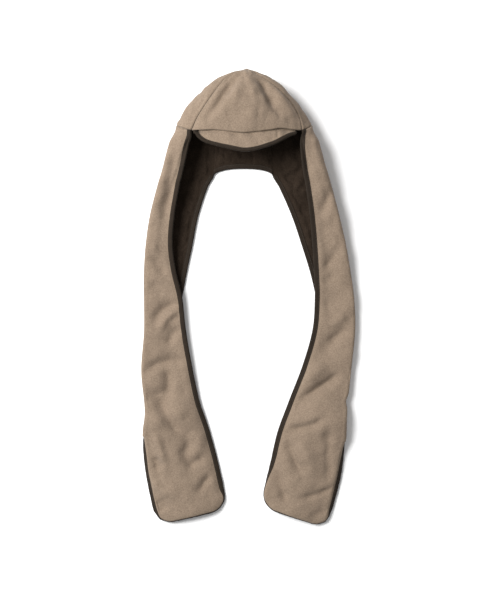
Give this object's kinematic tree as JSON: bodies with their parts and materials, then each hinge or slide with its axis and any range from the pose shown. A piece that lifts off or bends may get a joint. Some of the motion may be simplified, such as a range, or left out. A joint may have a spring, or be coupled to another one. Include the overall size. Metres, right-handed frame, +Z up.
{
  "type": "hooded scarf",
  "caption": "Lined fleece hood with a short soft peak, running out into two long rounded scarf ends with bound edges, laid flat on its back.",
  "frame": {"origin": "middle of the underside's box, on the surface that the hood lies on", "axes": "+X to the right and +Y towards the tip of the crown, seen from above, +Z up from the surface towards the hood's front"},
  "size_m": [0.4255, 0.9028, 0.0869],
  "materials": {
    "outer_fleece": "brushed fleece, soft nap, no gloss",
    "lining_fleece": "smooth fleece, matt",
    "binding_tape": "folded stretch tape, faint sheen"
  },
  "bodies": {
    "root": {"crown_front_gore": "outer_fleece", "crown_left_gore": "outer_fleece", "crown_right_gore": "outer_fleece", "crown_back_left_gore": "outer_fleece", "crown_back_right_gore": "outer_fleece", "crown_lining": "lining_fleece", "peak_top": "outer_fleece", "peak_underside": "lining_fleece", "peak_binding": "binding_tape", "nape_panel": "outer_fleece", "nape_lining": "lining_fleece", "nape_binding": "binding_tape", "left_cheek_panel": "outer_fleece", "left_scarf_panel": "outer_fleece", "left_scarf_lining": "lining_fleece", "left_front_binding": "binding_tape", "left_back_binding": "binding_tape", "right_cheek_panel": "outer_fleece", "right_scarf_panel": "outer_fleece", "right_scarf_lining": "lining_fleece", "right_front_binding": "binding_tape", "right_back_binding": "binding_tape"}
  },
  "joints": []
}
